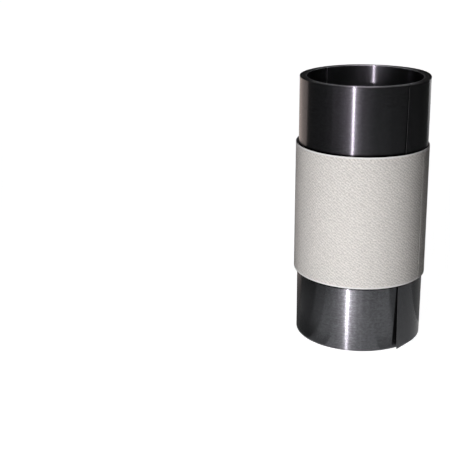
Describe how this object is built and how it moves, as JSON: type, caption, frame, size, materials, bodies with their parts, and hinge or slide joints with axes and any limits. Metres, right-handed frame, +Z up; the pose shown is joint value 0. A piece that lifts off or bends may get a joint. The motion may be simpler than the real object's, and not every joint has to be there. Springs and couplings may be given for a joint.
{
  "type": "roll of shim stock",
  "caption": "Thin steel shim strip wound into an open coil that stands on end, its outer end sprung loose, with a plain paper wrap round the middle.",
  "frame": {"origin": "on the surface it stands on, at the centre of the coil", "axes": "+Z up along the bore axis, -Y towards the viewer. The strip's sprung outer end lies 54 degrees from +X towards -Y"},
  "size_m": [0.0765, 0.0766, 0.1524],
  "materials": {
    "steel": "bright cold-rolled satin",
    "paper": "matt, with a fine slanting weave pressed in"
  },
  "bodies": {
    "root": {"steel_coil": "steel", "wrap_band": "paper"}
  },
  "joints": []
}
